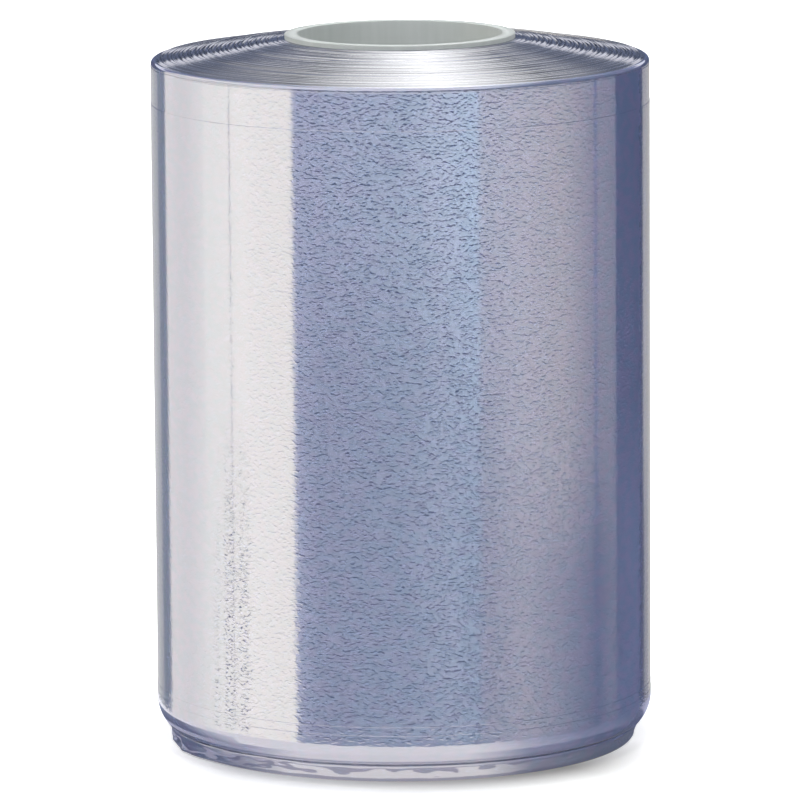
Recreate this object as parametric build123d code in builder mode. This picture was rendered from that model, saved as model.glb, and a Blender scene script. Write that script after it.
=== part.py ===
from build123d import *
from math import cos, radians, sin
import os

# A roll of clear shrink film on a rigid plastic core, standing on end.
# The roll's axis is Z, and Z = 0 is the surface that the roll stands on.
# Sizes are in millimetres and angles in degrees, unless a note says radians.

# Core tube
core_bore = 76.2
core_wall = 4.75
core_length = 258.0

# Winding
film_width = 254.0
winding_build = 50.1
rim_drop = 7.0
rim_break = 1.2

# Turns that stand out on the two ends
bundle_width = 4.4
bundle_unevenness = 0.35
bundle_rhythm = 2.4  # radians from one bundle to the next
turn_relief = 0.6

# Lower edge, where the weight of the roll has turned the outer film in
foot_drop = 9.2
foot_inset = 6.0
foot_width = 4.5
foot_toe_break = 0.7
skin_lift = 5.9
skin_curl_radius = 14.0
skin_curl_angle = 42.0
crease_depth = 1.3
crease_height = 0.7

core_outer = core_bore / 2 + core_wall
core_proud = (core_length - film_width) / 2
winding_radius = core_outer + winding_build

# The turns beside the core are the highest, and those under the rim the lowest
inner_bottom = foot_drop
inner_top = inner_bottom + film_width
rim_top = inner_top - rim_drop
core_bottom = inner_bottom - core_proud

foot_outer = winding_radius - foot_inset
foot_inner = foot_outer - foot_width


def bundle_radii(inner_radius, outer_radius):
    """Radii where one bundle of turns gives way to the next, from the core outwards."""
    count = max(2, round((outer_radius - inner_radius) / bundle_width))
    widths = [1 + bundle_unevenness * sin(bundle_rhythm * index) for index in range(count)]
    step = (outer_radius - inner_radius) / sum(widths)
    radii = [inner_radius]
    for width in widths:
        radii.append(radii[-1] + step * width)
    return radii


def turn_edges(inner, outer):
    """Outline of the turns' edges on one end, between two (radius, height) points.

    Within a bundle the edges climb outwards by the relief, and a riser drops to the next one.
    """
    slope = (outer[1] - inner[1]) / (outer[0] - inner[0])
    radii = bundle_radii(inner[0], outer[0])
    outline = []
    for near, far in zip(radii, radii[1:]):
        level = inner[1] + slope * ((near + far) / 2 - inner[0])
        outline.append((near, level - turn_relief / 2))
        outline.append((far, level + turn_relief / 2))
    return outline


with BuildPart() as core_tube:
    with BuildSketch(Plane.XY.offset(core_bottom)) as core_section:
        Circle(core_outer)
        Circle(core_bore / 2, mode=Mode.SUBTRACT)
    extrude(amount=core_length)
core_tube.part.label = "core_tube"

# The winding's half section, drawn as radius across and height up.
# It starts at the foot, climbs the outer wall, and comes back over the top and down the core.
skin_lip_radius = winding_radius - skin_curl_radius * (1 - cos(radians(skin_curl_angle)))
skin_curl_top = skin_lift + skin_curl_radius * sin(radians(skin_curl_angle))
foot_shoulder = (skin_lip_radius - crease_depth / 2, skin_lift - crease_height / 2)
crease_root = (skin_lip_radius - crease_depth, skin_lift + crease_height / 2)
rim_inner = winding_radius - rim_break
top_edges = turn_edges((core_outer, inner_top), (rim_inner, rim_top))
bottom_edges = turn_edges((core_outer, inner_bottom), (foot_inner, turn_relief))

with BuildPart() as film_roll:
    with BuildSketch(Plane.XZ) as half_section:
        with BuildLine():
            Polyline(
                (foot_inner, 0),
                (foot_outer - foot_toe_break, 0),
                (foot_outer, foot_toe_break),
                foot_shoulder,
                crease_root,
                (skin_lip_radius, skin_lift),
            )
            CenterArc(
                (winding_radius - skin_curl_radius, skin_curl_top),
                skin_curl_radius,
                -skin_curl_angle,
                skin_curl_angle,
            )
            Polyline(
                (winding_radius, skin_curl_top),
                (winding_radius, rim_top - rim_break),
                (rim_inner, rim_top),
                *reversed(top_edges),
                *bottom_edges,
                (foot_inner, 0),
            )
        make_face()
    revolve(axis=Axis.Z)
film_roll.part.label = "film_roll"

os.makedirs("parts", exist_ok=True)
export_step(core_tube.part, "parts/core_tube.step")
export_step(film_roll.part, "parts/film_roll.step")
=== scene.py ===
import math

import bmesh
import bpy
from mathutils import Matrix, Vector, noise


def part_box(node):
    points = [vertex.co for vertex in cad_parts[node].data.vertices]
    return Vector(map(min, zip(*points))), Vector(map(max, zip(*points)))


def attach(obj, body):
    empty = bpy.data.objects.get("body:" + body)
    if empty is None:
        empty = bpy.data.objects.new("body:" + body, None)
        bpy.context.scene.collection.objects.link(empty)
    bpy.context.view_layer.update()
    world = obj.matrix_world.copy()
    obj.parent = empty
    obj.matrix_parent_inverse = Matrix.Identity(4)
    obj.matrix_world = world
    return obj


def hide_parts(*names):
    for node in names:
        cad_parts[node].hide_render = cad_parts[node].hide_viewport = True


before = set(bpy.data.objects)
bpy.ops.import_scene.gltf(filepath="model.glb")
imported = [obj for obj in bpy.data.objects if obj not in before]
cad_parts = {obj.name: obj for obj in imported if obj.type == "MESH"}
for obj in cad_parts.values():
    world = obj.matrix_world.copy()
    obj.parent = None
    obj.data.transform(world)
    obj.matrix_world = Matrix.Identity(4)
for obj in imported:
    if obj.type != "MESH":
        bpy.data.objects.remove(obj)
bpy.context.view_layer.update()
print("frame loaded")

mm = 0.001


# Shared helpers

def linear(hexCode):
    # sRGB hex to the linear colour that shaders take
    values = [int(hexCode[i:i + 2], 16) / 255 for i in (0, 2, 4)]
    return [v / 12.92 if v <= 0.04045 else ((v + 0.055) / 1.055) ** 2.4 for v in values] + [1.0]


def colourStops(pairs):
    return [(position, linear(code)) for position, code in pairs]


def fillRamp(elements, stops):
    # stops: position, and grey level or colour
    while len(elements) < len(stops):
        elements.new(0.5)
    for element, (position, level) in zip(elements, stops):
        element.position = position
        element.color = level if isinstance(level, list) else [level, level, level, 1]


def addNode(tree, kind, settings=None, links=None):
    # settings: socket, property or a colour ramp's stops; links: socket to another node's output
    node = tree.nodes.new(kind)
    for name, value in (settings or {}).items():
        if name == "stops":
            fillRamp(node.color_ramp.elements, value)
        elif isinstance(name, int) or name in node.inputs:
            node.inputs[name].default_value = value
        else:
            setattr(node, name, value)
    for name, output in (links or {}).items():
        tree.links.new(output, node.inputs[name])
    return node


def newMaterial(name):
    material = bpy.data.materials.new(name)
    material.use_nodes = True
    material.node_tree.nodes.clear()
    return material, material.node_tree


def spinProfile(points, steps, sectors=8):
    # Turns a closed (radius, height) outline in millimetres once round Z.
    # One sector is spun and then repeated, which is much quicker than one long spin.
    bm = bmesh.new()
    verts = [bm.verts.new((r * mm, 0, z * mm)) for r, z in points]
    edges = [bm.edges.new(pair) for pair in zip(verts, verts[1:] + verts[:1])]
    centre = {"cent": (0, 0, 0), "axis": (0, 0, 1)}
    sector = math.tau / sectors
    weldDistance = 2e-6
    bmesh.ops.spin(bm, geom=verts + edges, angle=sector, steps=steps // sectors, **centre)
    bmesh.ops.spin(
        bm, geom=bm.verts[:] + bm.edges[:] + bm.faces[:], angle=sector * (sectors - 1),
        steps=sectors - 1, use_duplicate=True, **centre,
    )
    bmesh.ops.remove_doubles(bm, verts=bm.verts, dist=weldDistance)
    bmesh.ops.recalc_face_normals(bm, faces=bm.faces)
    return bm


def makePiece(name, bm, materials):
    for face in bm.faces:
        face.smooth = True
    mesh = bpy.data.meshes.new(name)
    bm.to_mesh(mesh)
    bm.free()
    piece = bpy.data.objects.new(name, mesh)
    bpy.context.scene.collection.objects.link(piece)
    for material in materials:
        mesh.materials.append(material)
    return piece


# Materials

wallFilm = {
    "grain": (600, 600, 900),       # per metre: flecks about 1.7 mm long and 1.1 mm high
    "waver": 0.2,
    "blisters": (0.46, 0.8),        # the stretch of the noise that raises the film
    "loose": (0.0138, 0.0162),      # heights in metres over which the blisters set in
    "lowering": (0.02, 0.25),       # heights between which they grow lower upwards
    "rises": (0.00009, 0.000031),
    "blisterSlope": (0.2, 0.2, 1),  # share of a blister's slope that is kept, along X, Y and Z
    "wallSlope": (0.8, 0.8, 0),     # and of the smooth wall's, to make it up
    "patchScale": 0.3,
    "tints": ((0.38, "5b688a"), (0.62, "65678b")),
    "roughness": 0.04,
    "ior": 3.0,
}

filmEdges = {
    "streaks": 900,                 # per metre
    "tints": ((0.3, "343a4c"), (0.7, "4a5166")),
    "roughness": 0.1,
    "ior": 2.6,
    "brushed": 0.3,
}

coreVinyl = {
    "drawLines": (300, 300, 20),    # per metre: fine round the tube and long down it
    "lineStrength": 0.3,
    "lineDepth": 0.00005,
    "tints": ((0.3, "a5aba8"), (0.7, "acb2af")),
    "roughness": 0.45,
    "ior": 1.53,
}


def clearVinylWall():
    # Glossy vinyl shrink film, hundreds of clear turns deep: a pale blue silver mirror, rippled
    # where air lies between the turns. Its many faces mirror far more than one, so the IOR is
    # raised.
    material, tree = newMaterial("clear vinyl film, wound")
    coordinates = addNode(tree, "ShaderNodeTexCoord")
    place, outward = coordinates.outputs["Object"], coordinates.outputs["Normal"]
    # The film is flat but for small blisters between the turns, seen as flecks along them
    grain = addNode(
        tree, "ShaderNodeMapping", {"Scale": wallFilm["grain"]}, {"Vector": place},
    )
    ripple = addNode(
        tree, "ShaderNodeTexNoise",
        {"Scale": 1.0, "Detail": 1.0, "Distortion": wallFilm["waver"]},
        {"Vector": grain.outputs[0]},
    )
    start, end = wallFilm["blisters"]
    blister = addNode(
        tree, "ShaderNodeMapRange", {"From Min": start, "From Max": end},
        {"Value": ripple.outputs[0]},
    )
    # There are none where the film is drawn tight round the lower edge
    height = addNode(tree, "ShaderNodeSeparateXYZ", links={"Vector": place})
    start, end = wallFilm["loose"]
    loose = addNode(
        tree, "ShaderNodeMapRange", {"From Min": start, "From Max": end},
        {"Value": height.outputs["Z"]},
    )
    start, end = wallFilm["lowering"]
    highest, lowest = wallFilm["rises"]
    rise = addNode(
        tree, "ShaderNodeMapRange",
        {"From Min": start, "From Max": end, "To Min": highest, "To Max": lowest},
        {"Value": height.outputs["Z"]},
    )
    bump = addNode(
        tree, "ShaderNodeBump",
        links={
            "Height": blister.outputs[0], "Strength": loose.outputs[0],
            "Distance": rise.outputs[0],
        },
    )
    # Their sides slope up and down far more than round the roll
    sloped = addNode(
        tree, "ShaderNodeVectorTransform",
        {"vector_type": "NORMAL", "convert_from": "WORLD", "convert_to": "OBJECT"},
        {0: bump.outputs[0]},
    )
    sloped = addNode(
        tree, "ShaderNodeVectorMath", {"operation": "MULTIPLY", 1: wallFilm["blisterSlope"]},
        {0: sloped.outputs[0]},
    )
    smooth = addNode(
        tree, "ShaderNodeVectorMath", {"operation": "MULTIPLY", 1: wallFilm["wallSlope"]},
        {0: outward},
    )
    sloped = addNode(
        tree, "ShaderNodeVectorMath", {"operation": "ADD"},
        {0: sloped.outputs[0], 1: smooth.outputs[0]},
    )
    sloped = addNode(
        tree, "ShaderNodeVectorTransform",
        {"vector_type": "NORMAL", "convert_from": "OBJECT", "convert_to": "WORLD"},
        {0: sloped.outputs[0]},
    )
    sloped = addNode(
        tree, "ShaderNodeVectorMath", {"operation": "NORMALIZE"}, {0: sloped.outputs[0]},
    )
    # Bluer and more violet film, in patches some millimetres across
    patches = addNode(
        tree, "ShaderNodeTexNoise", {"Scale": wallFilm["patchScale"], "Detail": 1.0},
        {"Vector": grain.outputs[0]},
    )
    tint = addNode(
        tree, "ShaderNodeValToRGB", {"stops": colourStops(wallFilm["tints"])},
        {"Fac": patches.outputs[0]},
    )
    shader = addNode(
        tree, "ShaderNodeBsdfPrincipled",
        {"Roughness": wallFilm["roughness"], "IOR": wallFilm["ior"]},
        {"Base Color": tint.outputs[0], "Normal": sloped.outputs[0]},
    )
    addNode(tree, "ShaderNodeOutputMaterial", links={"Surface": shader.outputs[0]})
    return material


def slitFilmEdges():
    # The slit edges of the film, seen end on: dark slate with a brushed sheen along the turns.
    material, tree = newMaterial("vinyl film edges, slit")
    place = addNode(tree, "ShaderNodeTexCoord").outputs["Object"]
    level = addNode(
        tree, "ShaderNodeVectorMath", {"operation": "MULTIPLY", 1: (1, 1, 0)}, {0: place},
    )
    radius = addNode(
        tree, "ShaderNodeVectorMath", {"operation": "LENGTH"}, {0: level.outputs[0]},
    )
    # Streaks of turns too fine to model. The real film is some hundredths of a millimetre thick,
    # too fine to show, so they are drawn about 1 mm apart.
    fine = addNode(
        tree, "ShaderNodeTexNoise",
        {"noise_dimensions": "1D", "Scale": filmEdges["streaks"], "Detail": 2.0},
        {"W": radius.outputs["Value"]},
    )
    tint = addNode(
        tree, "ShaderNodeValToRGB", {"stops": colourStops(filmEdges["tints"])},
        {"Fac": fine.outputs[0]},
    )
    tangent = addNode(tree, "ShaderNodeTangent", {"direction_type": "RADIAL", "axis": "Z"})
    shader = addNode(
        tree, "ShaderNodeBsdfPrincipled",
        {
            "Roughness": filmEdges["roughness"], "IOR": filmEdges["ior"],
            "Anisotropic": filmEdges["brushed"],
        },
        {"Base Color": tint.outputs[0], "Tangent": tangent.outputs[0]},
    )
    addNode(tree, "ShaderNodeOutputMaterial", links={"Surface": shader.outputs[0]})
    return material


def extrudedCore():
    # Rigid vinyl tube as extruded: satin grey green, with faint draw lines down its length.
    material, tree = newMaterial("rigid vinyl tube, extruded")
    place = addNode(tree, "ShaderNodeTexCoord").outputs["Object"]
    drawn = addNode(
        tree, "ShaderNodeMapping", {"Scale": coreVinyl["drawLines"]}, {"Vector": place},
    )
    lines = addNode(
        tree, "ShaderNodeTexNoise", {"Scale": 1.0, "Detail": 3.0}, {"Vector": drawn.outputs[0]},
    )
    bump = addNode(
        tree, "ShaderNodeBump",
        {"Strength": coreVinyl["lineStrength"], "Distance": coreVinyl["lineDepth"]},
        {"Height": lines.outputs[0]},
    )
    tint = addNode(
        tree, "ShaderNodeValToRGB", {"stops": colourStops(coreVinyl["tints"])},
        {"Fac": lines.outputs[0]},
    )
    shader = addNode(
        tree, "ShaderNodeBsdfPrincipled",
        {"Roughness": coreVinyl["roughness"], "IOR": coreVinyl["ior"]},
        {"Base Color": tint.outputs[0], "Normal": bump.outputs[0]},
    )
    addNode(tree, "ShaderNodeOutputMaterial", links={"Surface": shader.outputs[0]})
    return material


# Core tube

core = {
    "bore": 76.2 / 2,
    "edge": 0.12,  # saw-cut corners, barely broken
    "steps": 256,
}


def buildCore():
    low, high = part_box("core_tube")
    outer = high.x / mm
    bottom, top = low.z / mm, high.z / mm
    edge = core["edge"]
    points = [
        (core["bore"], bottom + edge), (core["bore"] + edge, bottom),
        (outer - edge, bottom), (outer, bottom + edge),
        (outer, top - edge), (outer - edge, top),
        (core["bore"] + edge, top), (core["bore"], top - edge),
    ]
    bm = spinProfile(points, core["steps"])
    piece = makePiece("coreTube", bm, [extrudedCore()])
    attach(piece, "root")
    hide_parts("core_tube")


# Winding

winding = {
    "steps": 344,
    "filmWidth": 254.0,
    "footDrop": 9.2,            # how far the turns beside the core hang above the floor
    "rimDrop": 7.0,             # how far the rim sits below the turns beside the core
    "rimRadius": 1.5,
    "rimRows": 6,
    "footInset": 6.0,
    "footWidth": 4.5,
    "footToe": 0.7,             # the broken corner under the foot
    "footRise": 5.17,           # from there to the foot's top
    "footGap": 0.66,            # how far the foot's top stays inside the lip
    "footFlare": 1.5,           # 1 is straight, and more bends out late
    "footRows": 6,
    "skinLift": 6.8,            # height of the lip, where the outer film turns in over the foot
    "curlRadius": 13.2,
    "curlAngle": 42.0,
    "curlRows": 10,
    "creaseDepth": 1.6,         # the crease is a slot under the lip that reaches this far in
    "creaseDrop": 0.47,         # how far the slot's lowest point sits below the lip
    "creaseMouth": ((0.65, 0), (0.74, 0.05)),  # in from the lip, and over that lowest point
    "creaseRoot": (0.05, 0.8),  # over the lowest point, at the slot's full depth
    "creaseRoof": (0.35, 0.6),  # in from the lip, and over the lowest point
    "plyLines": (18.2, 21.4, 240.2, 254.0),  # heights where a turn's slit edge shows
    "plyStep": 0.09,
    "plyBelow": (0.25, 0.05),   # rows close beside a slit edge keep the wall flat up to it
    "plyAbove": (0.12, 0.17, 0.4),
    "plainRows": (0.33, 0.67),
    "rhythm": 2.4,              # radians from one bundle or ridge to the next
    "bundleWidth": 4.4,         # the bundles of turns that the solid has too
    "bundleSpread": 0.35,
    "bundleRelief": 0.6,
    "bundleShare": 0.5,         # how much of that relief shows under the ridges
    "ridgeWidth": 1.65,         # the ridges of turns on the upper end
    "ridgeSpread": 0.4,
    "ridgeHeight": 0.9,
    "ridgeUneven": (0.9, 0.71),  # share of the height, and waves per millimetre
    "coreRidge": 0.3,           # height share at the core, in place of a groove
    "deepGrooves": (45.8, 51.9, 66.8, 74.8, 80.9, 85.1),
    "grooveDepth": 0.7,         # what a deep groove adds, as a share of the ridge's height
    "flatTurns": (3, 0.35),     # flat against the core: how far out, and share of the height
    "turnsProud": 0.5,          # lift of the ridges beside the core
    "upperEnd": 2,              # how far below the rim the upper end's faces reach
    "underEnd": (0.8, 1.5),     # the under end's: in from the foot's side, and over the turns
    "settled": (1.5, 0.5, 0.3),  # what settles: below the rim, out from the core, in from the rim
    "settling": ((1.7, 0.6, 0.18), (9, 1.1, 0.03)),  # waves round and across, and millimetres
    "crumpled": (0.3, 1),       # what crumples: above the floor, and out from the foot's inside
    "foldGrain": (14, 0.5),     # waves round, and up
    "foldShare": (0.25, 0.75),  # all round, and more on the left
    "foldCentre": 0.3,          # level of the folds' noise that moves nothing
    "crumple": 0.8,             # depth of the folds in millimetres
    "bulge": 2.8,
    "bulgeWay": (-0.899, -0.438),  # to the left, and a little to the front
    "bulgeSharpness": 24,
}

# One ridge from its inner groove outwards: share of the width, share of the height
ridgeShape = ((0.0, -0.5), (0.1, 0.38), (0.15, 0.45), (0.36, 0.33), (0.64, 0.02), (0.88, -0.32))
# Rows across one bundle on the under end: share of the width
underShape = (0.03, 0.35, 0.7, 0.97)


def unevenRadii(inner, outer, width, spread):
    # Radii from the core outwards where one ridge gives way to the next
    count = max(2, round((outer - inner) / width))
    widths = [1 + spread * math.sin(winding["rhythm"] * index) for index in range(count)]
    radii = [inner]
    for part in widths:
        radii.append(radii[-1] + (outer - inner) * part / sum(widths))
    return radii


def bundleLevel(radii, radius):
    # A bundle's edges climb outwards by the relief, and then drop to the next
    for near, far in zip(radii, radii[1:]):
        if radius <= far:
            return winding["bundleRelief"] * ((radius - near) / (far - near) - 0.5)
    return 0


def topRidges(inner, outer):
    slope = (outer[1] - inner[1]) / (outer[0] - inner[0])
    bundles = unevenRadii(inner[0], outer[0], winding["bundleWidth"], winding["bundleSpread"])
    marks = [inner[0], *winding["deepGrooves"], outer[0]]
    uneven, waves = winding["ridgeUneven"]
    flatReach, flatShare = winding["flatTurns"]
    points = []
    for start, end in zip(marks, marks[1:]):
        radii = unevenRadii(start, end, winding["ridgeWidth"], winding["ridgeSpread"])
        for near, far in zip(radii, radii[1:]):
            wave = noise.noise(Vector((near * waves, 0, 0)))
            height = winding["ridgeHeight"] * (1 + uneven * wave)
            height *= min(1, (far - near) / winding["ridgeWidth"])
            if near - inner[0] < flatReach:
                height *= flatShare
            for across, up in ridgeShape:
                radius = near + (far - near) * across
                if across == 0 and near == inner[0]:
                    up = winding["coreRidge"]
                elif across == 0 and near == start:
                    up -= winding["grooveDepth"]
                level = inner[1] + slope * (radius - inner[0]) + up * height
                middle = near + (far - near) / 2
                level += winding["bundleShare"] * bundleLevel(bundles, middle)
                points.append((radius, level))
    return points


def underTurns(inner, outer):
    slope = (outer[1] - inner[1]) / (outer[0] - inner[0])
    radii = unevenRadii(inner[0], outer[0], winding["bundleWidth"], winding["bundleSpread"])
    points = []
    for near, far in zip(radii, radii[1:]):
        level = inner[1] + slope * ((near + far) / 2 - inner[0])
        for across in underShape:
            rise = winding["bundleRelief"] * (across - 0.5)
            points.append((near + (far - near) * across, level + rise))
    return points


def wallPoints(outer, low, high):
    # The outer wall, with a shallow ledge wherever a turn's slit edge lies
    points = []
    radius, level = outer, low
    for line in [*winding["plyLines"], high]:
        for share in winding["plainRows"]:
            points.append((radius, level + (line - level) * share))
        points += [(radius, line - below) for below in winding["plyBelow"]] + [(radius, line)]
        if line < high:
            radius -= winding["plyStep"]
            points += [(radius, line + above) for above in winding["plyAbove"]]
            level = line + winding["plyAbove"][-1]
    return points


def footPoints(footInner, footOuter, lip):
    # The foot's outer side, and the crease over it
    toe, rise, rows = winding["footToe"], winding["footRise"], winding["footRows"]
    reach = lip - winding["footGap"] - footOuter
    points = [(footInner, 0), (footOuter - toe, 0)]
    for step in range(rows + 1):
        share = step / rows
        points.append((footOuter + reach * share ** winding["footFlare"], toe + rise * share))
    slot, root = winding["skinLift"] - winding["creaseDrop"], lip - winding["creaseDepth"]
    inward, up = winding["creaseRoof"]
    points += [(lip - mouth, slot + over) for mouth, over in winding["creaseMouth"]]
    points += [(root, slot + over) for over in winding["creaseRoot"]]
    points.append((lip - inward, slot + up))
    return points


def settleTurns(vert, around, radius):
    # The turns don't lie true: each ridge climbs and sinks a little on its way round
    rise = 0
    for turns, across, height in winding["settling"]:
        wave = noise.noise(Vector((around.x * turns, around.y * turns, radius * across)))
        rise += height * wave
    vert.co.z += rise * mm


def crumpleFoot(vert, around, level):
    # The foot is crumpled where the roll's weight has folded the film
    turns, upward = winding["foldGrain"]
    everywhere, onLeft = winding["foldShare"]
    fold = noise.noise(Vector((around.x * turns, around.y * turns, level * upward)))
    fold *= everywhere + onLeft * max(0, -around.x)
    vert.co.xy += around * (fold - winding["foldCentre"]) * winding["crumple"] * mm
    # It bulges out under the left side
    towards = max(0, around.dot(Vector(winding["bulgeWay"])))
    bulge = winding["bulge"] * towards ** winding["bulgeSharpness"]
    vert.co.xy += around * bulge * (1 - (level / winding["skinLift"]) ** 2) * mm


def buildWinding():
    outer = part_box("film_roll")[1].x / mm
    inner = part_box("core_tube")[1].x / mm
    innerBottom = winding["footDrop"]
    innerTop = innerBottom + winding["filmWidth"]
    rimTop = innerTop - winding["rimDrop"]
    rimRadius = winding["rimRadius"]
    footOuter = outer - winding["footInset"]
    footInner = footOuter - winding["footWidth"]
    curl, angle = winding["curlRadius"], math.radians(winding["curlAngle"])
    curlTop = winding["skinLift"] + curl * math.sin(angle)
    lip = outer - curl * (1 - math.cos(angle))

    points = footPoints(footInner, footOuter, lip)
    for step in range(winding["curlRows"]):
        bend = angle * (1 - step / winding["curlRows"])
        points.append((outer - curl * (1 - math.cos(bend)), curlTop - curl * math.sin(bend)))
    points += wallPoints(outer, curlTop, rimTop - rimRadius)
    rimOuter = points[-1][0]
    rimInner = rimOuter - rimRadius
    for step in range(1, winding["rimRows"] + 1):
        bend = math.pi / 2 * step / winding["rimRows"]
        rise = rimTop - rimRadius + rimRadius * math.sin(bend)
        points.append((rimOuter - rimRadius * (1 - math.cos(bend)), rise))
    ridges = topRidges((inner, innerTop + winding["turnsProud"]), (rimInner, rimTop))
    points += reversed(ridges)
    points += underTurns((inner, innerBottom), (footInner, winding["bundleRelief"]))

    bm = spinProfile(points, winding["steps"])
    insideFoot, overTurns = winding["underEnd"]
    for face in bm.faces:
        middle = face.calc_center_median()
        radius, level = middle.xy.length / mm, middle.z / mm
        onEnd = radius < rimInner and level > rimTop - winding["upperEnd"]
        under = radius < footOuter - insideFoot and level < innerBottom + overTurns
        face.material_index = 1 if onEnd or under else 0
    belowRim, fromCore, fromRim = winding["settled"]
    fromFloor, fromInside = winding["crumpled"]
    for vert in bm.verts:
        radius, level = vert.co.xy.length / mm, vert.co.z / mm
        around = vert.co.xy.normalized()
        if level > rimTop - belowRim and inner + fromCore < radius < rimInner - fromRim:
            settleTurns(vert, around, radius)
        elif fromFloor < level < winding["skinLift"] and radius > footInner + fromInside:
            crumpleFoot(vert, around, level)
    piece = makePiece("filmWinding", bm, [clearVinylWall(), slitFilmEdges()])
    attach(piece, "root")
    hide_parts("film_roll")
    print("winding", len(piece.data.polygons), "faces")


# Studio

studio = {
    "plainLevel": 0.76,         # the white room's even light on the object
    "overheadPlace": (0, 0.1, 6),
    "overheadSize": 0.5,
    "overheadPower": 162.0,
    "tentRadius": 40.0,
    "tentMiddle": 0.13,         # the height that the tent's elevations start from
    "tentStrength": 3.15,       # its colours are drawn at a third of their level
    # strength of the gloss-only rings and foot card that have the table's light and shade painted
    # in
    "tableGlow": 2.2,
    "stepDegrees": 2,
}

# A light tent round the roll, which only gloss sees. It isn't a plain studio: it was fitted to
# the photo. Its colours were worked out from what the wall shows there at some columns, and were
# corrected by comparing renders with it. Each level has its elevation, and its colours by azimuth
# in degrees from the front, left negative. From one level to the next they blend.
leftSide = (
    (-178, "3a4050"), (-172, "8d8d89"), (-152, "8d8d89"), (-151.5, "64696b"), (-139.5, "64696b"),
    (-139, "ccc7c0"), (-118, "d0cbc4"), (-97, "e8e5da"), (-74, "f5efe3"), (-51.0, "f1ebde"),
)
frontWall = (
    (-50.4, "a1a4b5"), (0, "a1acba"), (18, "b3bdcb"), (33, "b4c4d4"), (34.6, "b4c4d4"),
    (37.6, "b3b4bc"), (57, "b4b1b4"), (79, "aaa4a2"), (94.9, "8b8689"), (95.3, "7a7b86"),
    (95.7, "898487"), (101.0, "7f7b7e"), (101.1, "46517a"), (101.7, "46517a"), (101.8, "7f7b7e"),
    (116.8, "6e6d73"),
)
rightHigh = ((117.4, "1b2132"), (145, "1b2132"), (150, "161920"))
rightLow = ((117.4, "4a5066"), (145, "4a5066"), (150, "262a36"))
rightEdge = ((150.6, "83817c"), (172, "83817c"), (178, "3a4050"))
wallHigh = leftSide + frontWall + rightHigh + rightEdge
wallLow = leftSide + frontWall + rightLow + rightEdge
nearFloor = (
    (-180, "333845"), (-152, "333845"), (-151.5, "64696b"), *leftSide[4:], (-50.4, "8a909e"),
    (0, "8f99ab"), (36, "8f97a6"), (57, "a2a1a8"), (79, "9a9799"), (105, "73727a"),
    (114.2, "6b6a70"), (114.8, "262c3e"), (150, "262c3e"), (151, "83817c"), (172, "83817c"),
    (180, "333845"),
)
aboveWall = (
    (-180, "363c4c"), (-172, "363c4c"), (-168, "262b38"), (-152, "262b38"), (-151.5, "64696b"),
    (-139.5, "64696b"), (-139, "ccc7c0"), (-118, "d0cbc4"), (-90.8, "dedad2"), (-90.4, "3a3542"),
    (-85.4, "3a3542"), (-85.0, "dedad2"), (-81.6, "dedad2"), (-81.2, "3a3542"), (-76.2, "3a3542"),
    (-75.8, "dedad2"), (-51.0, "dedad2"), (-50.4, "191e2a"), (37, "191e2a"), (50, "6a6a74"),
    (79, "5e5d62"), (105, "504f56"), (114.2, "46485a"), (114.8, "1b2132"), (146, "1b2132"),
    (168, "262b38"), (172, "363c4c"), (180, "363c4c"),
)
horizon = (
    (-180, "363c4c"), (-172, "363c4c"), (-168, "191e2a"), (-139.5, "191e2a"), (-139, "ccc7c0"),
    (-98.2, "c4c0ba"), (-97.8, "191320"), (-95.0, "191320"), (-94.6, "c4c0ba"), (-90.8, "c4c0ba"),
    (-90.4, "191320"), (-85.4, "191320"), (-85.0, "c4c0ba"), (-81.6, "c4c0ba"), (-81.2, "191320"),
    (-76.2, "191320"), (-75.8, "c4c0ba"), (-51.0, "c4c0ba"), (-50.4, "191e2a"), (37, "191e2a"),
    (48, "3e404a"), (110, "2e3038"), (114, "191e2a"), (146, "191e2a"), (150, "262b38"),
    (168, "262b38"), (172, "363c4c"), (180, "363c4c"),
)
sideGlow = (
    (-180, "333845"), (-174, "4a4e5a"), (-170, "b8b8c0"), (-148, "b8b8c0"), (-143, "595d66"),
    (-139, "a8a49e"), (-97, "c9c6bc"), (-60, "b4b4bc"), (40, "8d8f98"), (60, "595d66"),
    (143, "595d66"), (148, "b8b8c0"), (170, "b8b8c0"), (174, "4a4e5a"), (180, "333845"),
)
overSides = (
    (-180, "3c404c"), (-168, "595d68"), (-146, "4a4e5a"), (-136, "ccc7c0"), (-97, "e8e5da"),
    (-60, "d6d6dc"), (40, "d6d6dc"), (60, "4f535f"), (146, "4a4e5a"), (168, "595d68"),
    (180, "3c404c"),
)
lightAbove = (
    (-180, "8d8d93"), (-158, "85858c"), (-140, "6a6c76"), (-132, "b4b2b0"), (-97, "d6d3cc"),
    (-60, "c9c9d0"), (60, "c9c9d0"), (80, "6a6c76"), (110, "585a64"), (135, "73757e"),
    (158, "96969c"), (180, "9a9aa0"),
)
tentLevels = (
    (-75, nearFloor), (-16, nearFloor), (-12.6, wallLow), (-10.8, wallLow), (-9.6, wallHigh),
    (-6.8, wallHigh), (-4.4, aboveWall), (-3, aboveWall), (0, horizon), (9.8, horizon),
    (11.4, sideGlow), (17.6, sideGlow), (19.5, overSides), (30, overSides), (40, lightAbove),
    (82, lightAbove),
)

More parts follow.
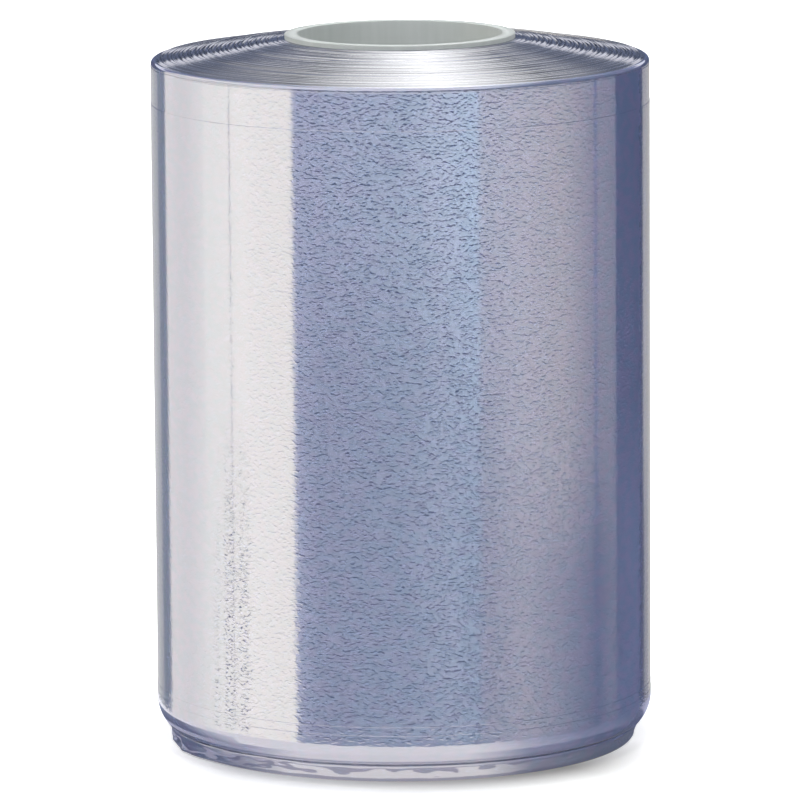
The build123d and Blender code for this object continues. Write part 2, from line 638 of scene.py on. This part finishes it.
# A dimming screen close by, seen in gloss only: heights in metres, and how much it lets through
# by azimuth. No real studio has one. It lets the wall's reflections change with height.
screen = {
    "radius": 0.45,
    "span": (-46, 150),
    "levels": (
        (-0.3, (
            (-46, "ffffff"), (-34, "dbdbdb"), (20, "dbdbdb"), (30, "c8c8c8"), (52, "dbdbdb"),
            (72, "b0b6bc"), (96, "858fa4"), (110, "ffffff"), (128, "ffffff"), (137, "8a8a90"),
            (140, "8a8a90"), (142, "dadade"), (150, "dadade"),
        )),
        (0.0, (
            (-46, "ffffff"), (-34, "dcdcdc"), (20, "dcdcdc"), (30, "d0d0d0"), (52, "e0e0e0"),
            (72, "bcc3d0"), (96, "a6afc2"), (110, "ffffff"), (128, "ffffff"), (137, "a0a0a6"),
            (140, "a0a0a6"), (142, "e2e2e6"), (150, "e2e2e6"),
        )),
        (0.04, (
            (-46, "ffffff"), (-34, "dddddd"), (20, "dddddd"), (30, "d6d6d6"), (52, "f4f4f4"),
            (72, "f6f6f6"), (96, "f4f4f4"), (110, "ffffff"), (150, "ffffff"),
        )),
        (0.09, (
            (-46, "ffffff"), (-34, "e2e2e2"), (20, "e6e6e6"), (30, "eaeaea"), (52, "fcfcfc"),
            (150, "ffffff"),
        )),
        (0.165, ((-46, "ffffff"), (150, "ffffff"))),
    ),
}

# Dark slots between the softboxes at the left, just above where the wall's lower half mirrors
# the tent, so that only its blisters show them
darkSlots = {
    "radius": 39.0,
    "spans": ((-98.0, -94.6), (-90.8, -84.4), (-82.2, -75.6)),
    "elevations": (-9.0, -4.4),
    "colours": ((-180, "191320"), (180, "191320")),
}

# White cards that hide the slots from the upper part of the roll
whiteCards = {
    "radius": 1.0,
    "spans": ((-93, -72, -0.01), (-99, -91.5, -0.053)),  # two azimuths, and the lower edge
    "middle": 0.14,             # above this height they darken
    "top": 0.6,
    "white": ((-99, "e7e4d9"), (-95.3, "e8e5da"), (-72.4, "f5efe3")),
    "shade": ((-99, "8a8680"), (-72, "8a8680")),
}

# A low card close to the foot's left side, fading out at both ends. It glows in gloss only, and
# its dark middle is painted shade that the foot mirrors.
paintedFootShade = {
    "radius": 0.0975,
    "span": (-150, -46),
    "heights": (-0.001, 0.0095),
    "lower": ((-150, "8d8d99"), (-132, "34384a"), (-66, "34384a"), (-46, "b4b0b8")),
    "upper": ((-150, "b4b0b8"), (-132, "6c707e"), (-70, "6c707e"), (-46, "e2e0e6")),
}

# A thin seam in the softbox at the left, which dims what is behind it
softboxSeam = {
    "radius": 0.99,
    "span": (-82.1, -81.7),
    "heights": (-0.2, 0.3),
    "colours": ((-82.1, "94949c"), (-81.7, "94949c")),
}


def sweepColours(tree, place, stops):
    # Turned so that the front falls at the middle of the sweep
    turned = addNode(
        tree, "ShaderNodeMapping", {"Rotation": (0, 0, math.radians(90))}, {"Vector": place},
    )
    sweep = addNode(
        tree, "ShaderNodeTexGradient", {"gradient_type": "RADIAL"},
        {"Vector": turned.outputs[0]},
    )
    shares = [((azimuth + 180) / 360, code) for azimuth, code in stops]
    return addNode(
        tree, "ShaderNodeValToRGB", {"stops": colourStops(shares)}, {"Fac": sweep.outputs["Fac"]},
    )


def bandMaterial(name, lower, upper, heights, strength=None):
    # Colours blended from the lower to the upper edge. They glow, or without a strength they dim
    # what is behind them.
    material, tree = newMaterial(name)
    low, high = heights
    place = addNode(tree, "ShaderNodeTexCoord").outputs["Object"]
    height = addNode(tree, "ShaderNodeSeparateXYZ", links={"Vector": place})
    share = addNode(
        tree, "ShaderNodeMapRange", {"From Min": low, "From Max": high},
        {"Value": height.outputs["Z"]},
    )
    blend = addNode(
        tree, "ShaderNodeMix", {"data_type": "RGBA"},
        {
            "Factor": share.outputs[0],
            "A": sweepColours(tree, place, lower).outputs[0],
            "B": sweepColours(tree, place, upper).outputs[0],
        },
    )
    kind = "ShaderNodeEmission" if strength else "ShaderNodeBsdfTransparent"
    settings = {"Strength": strength} if strength else None
    shader = addNode(tree, kind, settings, {"Color": blend.outputs[2]})
    addNode(tree, "ShaderNodeOutputMaterial", links={"Surface": shader.outputs[0]})
    return material


def showOnlyInGloss(thing):
    thing.visible_camera = False
    thing.visible_diffuse = False
    thing.visible_shadow = False
    thing.visible_transmission = False


def buildBand(name, radius, span, heights, lower, upper, strength=None):
    # Part of a cylinder about the roll's axis, from one azimuth to another
    start, end = span
    bm = bmesh.new()
    turn = Matrix.Rotation(math.radians(start), 3, "Z")
    foot, head = (bm.verts.new(turn @ Vector((0, -radius, height))) for height in heights)
    edge = bm.edges.new((foot, head))
    bmesh.ops.spin(
        bm, geom=[foot, head, edge], cent=(0, 0, 0), axis=(0, 0, 1),
        angle=math.radians(end - start),
        steps=max(1, int(end - start) // studio["stepDegrees"]),
    )
    material = bandMaterial(name, lower, upper, heights, strength)
    showOnlyInGloss(makePiece(name, bm, [material]))


def heightAt(radius, elevation):
    return studio["tentMiddle"] + radius * math.tan(math.radians(elevation))


def buildTent():
    radius, strength = studio["tentRadius"], studio["tentStrength"]
    allRound = (-180, 180)
    for index, (below, above) in enumerate(zip(tentLevels, tentLevels[1:])):
        name = "tentBand%d" % index
        heights = heightAt(radius, below[0]), heightAt(radius, above[0])
        buildBand(name, radius, allRound, heights, below[1], above[1], strength)
    levels = screen["levels"]
    for index, (below, above) in enumerate(zip(levels, levels[1:])):
        name = "screenBand%d" % index
        heights = below[0], above[0]
        buildBand(name, screen["radius"], screen["span"], heights, below[1], above[1])


def buildCards():
    strength = studio["tentStrength"]
    radius, dark = darkSlots["radius"], darkSlots["colours"]
    heights = [heightAt(radius, elevation) for elevation in darkSlots["elevations"]]
    for index, span in enumerate(darkSlots["spans"]):
        buildBand("darkSlot%d" % index, radius, span, heights, dark, dark, strength)

    radius, middle, top = whiteCards["radius"], whiteCards["middle"], whiteCards["top"]
    white, shade = whiteCards["white"], whiteCards["shade"]
    for index, (start, end, low) in enumerate(whiteCards["spans"]):
        span = start, end
        buildBand("whiteCard%d" % index, radius, span, (low, middle), white, white, strength)
        buildBand("shadedCard%d" % index, radius, span, (middle, top), white, shade, strength)

    # The card of painted shade by the foot's left side, which only gloss sees
    card, seam = paintedFootShade, softboxSeam
    buildBand(
        "paintedFootShade", card["radius"], card["span"], card["heights"], card["lower"], card["upper"],
        studio["tableGlow"],
    )
    buildBand(
        "softboxSeam", seam["radius"], seam["span"], seam["heights"], seam["colours"],
        seam["colours"],
    )


# A strip lamp over and behind the roll, a little right of the middle. It runs along Y, widening
# towards the front, and fades from its middle line to its sides.
lampStrip = {
    "strength": 4.6,
    "middle": (-0.16, 0.175),   # slope along Y of its middle line, and that line's X at Y = 0
    "half": (-0.21, 0.30),      # half the width of its bright part, in the same way
    "reach": 2.4,               # how many of those halves its sides are from the middle line
    "fade": ((0.0, 1.0), (0.2, 0.78), (0.45, 0.5), (0.7, 0.28), (1.0, 0.08)),
    "curve": ((1.05, 0.60), (0.95, 0.81), (0.70, 1.10), (0.35, 1.25), (-0.05, 1.30)),  # Y, Z
}


def fadingLamp():
    # A long diffuser lit from behind, brightest along its middle line
    material, tree = newMaterial("strip lamp")
    place = addNode(tree, "ShaderNodeTexCoord").outputs["Object"]
    place = addNode(tree, "ShaderNodeSeparateXYZ", links={"Vector": place})
    (middleSlope, middleStart), (halfSlope, halfStart) = lampStrip["middle"], lampStrip["half"]
    middle = addNode(
        tree, "ShaderNodeMath", {"operation": "MULTIPLY_ADD", 1: middleSlope, 2: middleStart},
        {0: place.outputs["Y"]},
    )
    half = addNode(
        tree, "ShaderNodeMath", {"operation": "MULTIPLY_ADD", 1: halfSlope, 2: halfStart},
        {0: place.outputs["Y"]},
    )
    off = addNode(
        tree, "ShaderNodeMath", {"operation": "SUBTRACT"},
        {0: place.outputs["X"], 1: middle.outputs[0]},
    )
    off = addNode(tree, "ShaderNodeMath", {"operation": "ABSOLUTE"}, {0: off.outputs[0]})
    off = addNode(
        tree, "ShaderNodeMath", {"operation": "DIVIDE"}, {0: off.outputs[0], 1: half.outputs[0]},
    )
    off = addNode(
        tree, "ShaderNodeMath", {"operation": "DIVIDE", 1: lampStrip["reach"]},
        {0: off.outputs[0]},
    )
    fade = addNode(
        tree, "ShaderNodeValToRGB", {"stops": lampStrip["fade"]}, {"Fac": off.outputs[0]},
    )
    glow = addNode(
        tree, "ShaderNodeEmission", {"Strength": lampStrip["strength"]},
        {"Color": fade.outputs[0]},
    )
    addNode(tree, "ShaderNodeOutputMaterial", links={"Surface": glow.outputs[0]})
    return material


def buildLampStrip():
    (middleSlope, middleStart), (halfSlope, halfStart) = lampStrip["middle"], lampStrip["half"]
    material = fadingLamp()
    bm = bmesh.new()
    edges = []
    for y, z in lampStrip["curve"]:
        x, reach = middleStart + middleSlope * y, lampStrip["reach"] * (halfStart + halfSlope * y)
        left, right = bm.verts.new((x - reach, y, z)), bm.verts.new((x + reach, y, z))
        edges.append(bm.edges.new((left, right)))
    for pair in zip(edges, edges[1:]):
        bmesh.ops.bridge_loops(bm, edges=pair)
    showOnlyInGloss(makePiece("lampStrip", bm, [material]))


table = {
    "radius": 4.0,
    "segments": 96,
    "white": "f8f8f8",
    "roughness": 0.8,
    "glow": 0.13,               # added where the camera sees it, to meet the white behind
    "sideGlow": 0.45,           # and more beside and behind the roll, whose shade is in front: painted light over its shade there
    "sides": (-0.72, -0.2),     # Y over radius, where the front ends and where the sides begin
    "shadeCentre": (0.012, -0.010, 0),
    "shadeReach": (0.07, 0.1),  # metres from that centre over which the shade fades
    # painted shadow levels, from near the shade's centre outwards
    "shade": (
        (0.1, "a3a199"), (0.27, "c5c3bd"), (0.47, "dcdbd7"), (0.74, "f0f0ee"), (0.95, "f8f8f8"),
    ),
    "ringDrop": 0.0002,         # how far each ring lies under the last
}

# Near the roll the table shows in the film that is rolled in. Here it is glowing rings under the
# table, seen only in gloss, with its light and shade painted into their colours: painted light in
# front and on the left, and the roll's painted shade close by and on the right. Each ring has its
# radius, and its colours by azimuth as the tent has.
paintedTableRings = (
    (0.0884, (
        (-180, "4a4c58"), (-95, "4a4c58"), (-60, "595b66"), (-45, "747480"), (-30, "b4b0b8"),
        (20, "b4b0b8"), (34, "747480"), (60, "595d66"), (110, "333845"), (180, "333845"),
    )),
    (0.0903, (
        (-180, "4a4c58"), (-95, "4a4c58"), (-60, "6a6c76"), (-45, "9a9aa4"), (-30, "fdf8f6"),
        (20, "fdf8f6"), (34, "8d8d99"), (60, "595d66"), (110, "333845"), (180, "333845"),
    )),
    (0.0922, (
        (-180, "333845"), (-95, "333845"), (-60, "4a4c58"), (-45, "747480"), (-30, "b4b0b8"),
        (20, "b4b0b8"), (34, "747480"), (60, "4a4c58"), (110, "333845"), (180, "333845"),
    )),
    (0.1005, (
        (-180, "595d66"), (-140, "8d8d99"), (-60, "a4a2b0"), (-45, "a8a5b2"), (-28, "f6f1f1"),
        (16, "f6f1f1"), (34, "8f8fa2"), (60, "4a4e60"), (98, "3c4052"), (101, "9495a6"),
        (180, "8d8d99"),
    )),
    (0.13, (
        (-180, "8d8d89"), (-150, "dedce3"), (-45, "fdf8f6"), (20, "fdf8f6"), (38, "b4b2c0"),
        (56, "7c7e92"), (90, "4f5366"), (98, "4a4e60"), (101, "9495a6"), (180, "8d8d99"),
    )),
)


def whiteTable():
    # White card. The shade that the roll throws is deepened in front of it by a ramp, which was
    # fitted to the photo: painted shadow in the card's colour. Beside and behind the roll, a glow
    # that only the camera sees paints light over its shade.
    material, tree = newMaterial("white table top")
    place = addNode(tree, "ShaderNodeTexCoord").outputs["Object"]
    radius = addNode(tree, "ShaderNodeVectorMath", {"operation": "LENGTH"}, {0: place})
    depth = addNode(tree, "ShaderNodeSeparateXYZ", links={"Vector": place})
    facing = addNode(
        tree, "ShaderNodeMath", {"operation": "DIVIDE"},
        {0: depth.outputs["Y"], 1: radius.outputs["Value"]},
    )
    start, end = table["sides"]
    side = addNode(
        tree, "ShaderNodeMapRange", {"From Min": start, "From Max": end},
        {"Value": facing.outputs[0]},
    )
    away = addNode(
        tree, "ShaderNodeVectorMath", {"operation": "SUBTRACT", 1: table["shadeCentre"]},
        {0: place},
    )
    away = addNode(tree, "ShaderNodeVectorMath", {"operation": "LENGTH"}, {0: away.outputs[0]})
    start, end = table["shadeReach"]
    away = addNode(
        tree, "ShaderNodeMapRange", {"From Min": start, "From Max": end},
        {"Value": away.outputs["Value"]},
    )
    # Painted shadow: darker nearer the shade's centre, in front of the roll
    deep = addNode(
        tree, "ShaderNodeValToRGB", {"stops": colourStops(table["shade"])},
        {"Fac": away.outputs[0]},
    )
    paintedShadowTone = addNode(
        tree, "ShaderNodeMix", {"data_type": "RGBA", "B": linear(table["white"])},
        {"Factor": side.outputs[0], "A": deep.outputs[0]},
    )
    shade = addNode(
        tree, "ShaderNodeBsdfPrincipled", {"Roughness": table["roughness"]},
        {"Base Color": paintedShadowTone.outputs[2]},
    )
    # A glow that only the camera sees: even white, with painted light beside and behind the roll
    path = addNode(tree, "ShaderNodeLightPath")
    white = addNode(
        tree, "ShaderNodeMath",
        {"operation": "MULTIPLY_ADD", 1: table["sideGlow"], 2: table["glow"]},
        {0: side.outputs[0]},
    )
    white = addNode(
        tree, "ShaderNodeMath", {"operation": "MULTIPLY"},
        {0: white.outputs[0], 1: path.outputs["Is Camera Ray"]},
    )
    glow = addNode(tree, "ShaderNodeEmission", links={"Strength": white.outputs[0]})
    both = addNode(
        tree, "ShaderNodeAddShader", links={0: shade.outputs[0], 1: glow.outputs[0]},
    )
    addNode(tree, "ShaderNodeOutputMaterial", links={"Surface": both.outputs[0]})
    return material


def makeDisc(name, radius, height, material):
    bm = bmesh.new()
    bmesh.ops.create_circle(
        bm, cap_ends=True, segments=table["segments"], radius=radius,
        matrix=Matrix.Translation((0, 0, height)),
    )
    return makePiece(name, bm, [material])


def buildTable():
    top = makeDisc("tableTop", table["radius"], 0, whiteTable())
    top.visible_glossy = False
    # Rings that glow in gloss only, with the table's light and the roll's shade painted into them
    for index, (radius, stops) in enumerate(paintedTableRings):
        name, height = "paintedTableRing%d" % index, -table["ringDrop"] * (index + 1)
        material = bandMaterial(name, stops, stops, (-1, 1), studio["tableGlow"])
        showOnlyInGloss(makeDisc(name, radius, height, material))


def buildWorld():
    # White where it is seen straight, in gloss or through anything clear, and else a plain level
    world = bpy.data.worlds.new("white studio")
    world.use_nodes = True
    tree = world.node_tree
    tree.nodes.clear()
    path = addNode(tree, "ShaderNodeLightPath")
    seen = path.outputs["Is Camera Ray"]
    for ray in ("Is Glossy Ray", "Is Transmission Ray"):
        either = addNode(
            tree, "ShaderNodeMath", {"operation": "MAXIMUM"}, {0: seen, 1: path.outputs[ray]},
        )
        seen = either.outputs[0]
    level = addNode(
        tree, "ShaderNodeMapRange", {"To Min": studio["plainLevel"], "To Max": 1.0},
        {"Value": seen},
    )
    sky = addNode(
        tree, "ShaderNodeBackground", {"Color": (1, 1, 1, 1)}, {"Strength": level.outputs[0]},
    )
    addNode(tree, "ShaderNodeOutputWorld", links={"Surface": sky.outputs[0]})
    bpy.context.scene.world = world


def addOverhead():
    data = bpy.data.lights.new("overhead", "AREA")
    data.size = studio["overheadSize"]
    data.energy = studio["overheadPower"]
    lamp = bpy.data.objects.new("overhead", data)
    bpy.context.scene.collection.objects.link(lamp)
    lamp.location = studio["overheadPlace"]
    lamp.visible_glossy = False
    lamp.visible_camera = False


def buildStudio():
    buildTent()
    buildCards()
    buildLampStrip()
    buildTable()
    buildWorld()
    addOverhead()


# Camera

camera = {
    "distance": 2.689,
    "elevation": 9.568,
    "pivot": 0.13,              # height of the point that these two are taken from
    "aim": (-0.00085, 0, 0.12685),
    "roll": -0.397,
    "lens": 323.2,
    "sensor": 36,
    "farClip": 50,
}


def buildCamera():
    data = bpy.data.cameras.new("camera")
    data.lens = camera["lens"]
    data.sensor_width = camera["sensor"]
    data.clip_end = camera["farClip"]
    lift, distance = math.radians(camera["elevation"]), camera["distance"]
    eye = bpy.data.objects.new("camera", data)
    bpy.context.scene.collection.objects.link(eye)
    back, up = distance * math.cos(lift), camera["pivot"] + distance * math.sin(lift)
    eye.location = Vector((0, -back, up))
    look = (Vector(camera["aim"]) - eye.location).to_track_quat("-Z", "Y")
    roll = Matrix.Rotation(math.radians(camera["roll"]), 3, "Z").to_quaternion()
    eye.rotation_mode = "QUATERNION"
    eye.rotation_quaternion = look @ roll
    bpy.context.scene.camera = eye


buildCore()
print("core built")
buildWinding()
print("winding built")
buildStudio()
buildCamera()
bpy.context.scene.view_settings.view_transform = "Standard"
print("studio and camera set")
